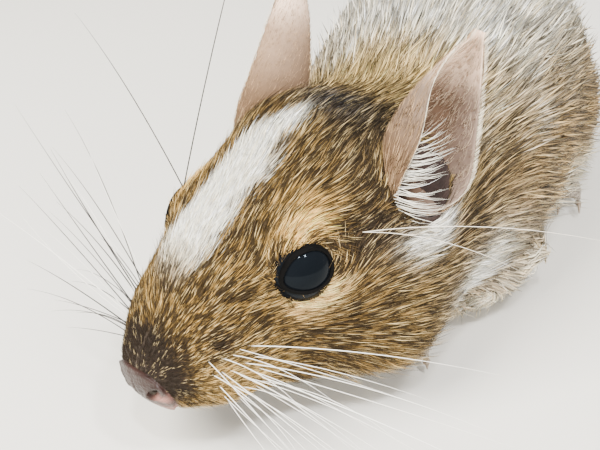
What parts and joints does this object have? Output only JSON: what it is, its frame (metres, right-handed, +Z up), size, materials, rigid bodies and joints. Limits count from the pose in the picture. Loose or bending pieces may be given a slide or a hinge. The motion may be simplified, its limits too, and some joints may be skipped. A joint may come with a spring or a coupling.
{
  "type": "degu",
  "caption": "Life-size still model of a crouching degu with its head turned, cupped ears, long whiskers and a brush-tipped tail laid on the floor.",
  "frame": {"origin": "on the floor, at the middle of the flat under the belly", "axes": "-Y is the way the trunk faces, +X is the animal's left, +Z is up; the head is turned 22 degrees to the animal's right"},
  "size_m": [0.1035, 0.2165, 0.0652],
  "materials": {
    "agouti_coat": "short banded fur, matte",
    "ear_skin": "thin bare skin with fine down",
    "nose_skin": "dark moist skin",
    "eye_gloss": "wet gloss",
    "foot_skin": "thinly haired skin",
    "tail_brush": "coarse black hair"
  },
  "bodies": {
    "root": {"head": "agouti_coat", "nose": "nose_skin", "jaw": "agouti_coat", "whisker_pad_left": "agouti_coat", "whisker_pad_right": "agouti_coat", "brow_left": "agouti_coat", "brow_right": "agouti_coat", "eye_left": "eye_gloss", "eye_right": "eye_gloss", "ear_left": "ear_skin", "ear_right": "ear_skin", "neck": "agouti_coat", "chest": "agouti_coat", "rump": "agouti_coat", "thigh_left": "agouti_coat", "thigh_right": "agouti_coat", "foreleg_left": "agouti_coat", "foreleg_right": "agouti_coat", "forefoot_left": "foot_skin", "forefoot_right": "foot_skin", "hindfoot_left": "foot_skin", "hindfoot_right": "foot_skin", "tail_base": "agouti_coat", "tail_middle": "agouti_coat", "tail_tip": "tail_brush"}
  },
  "joints": []
}
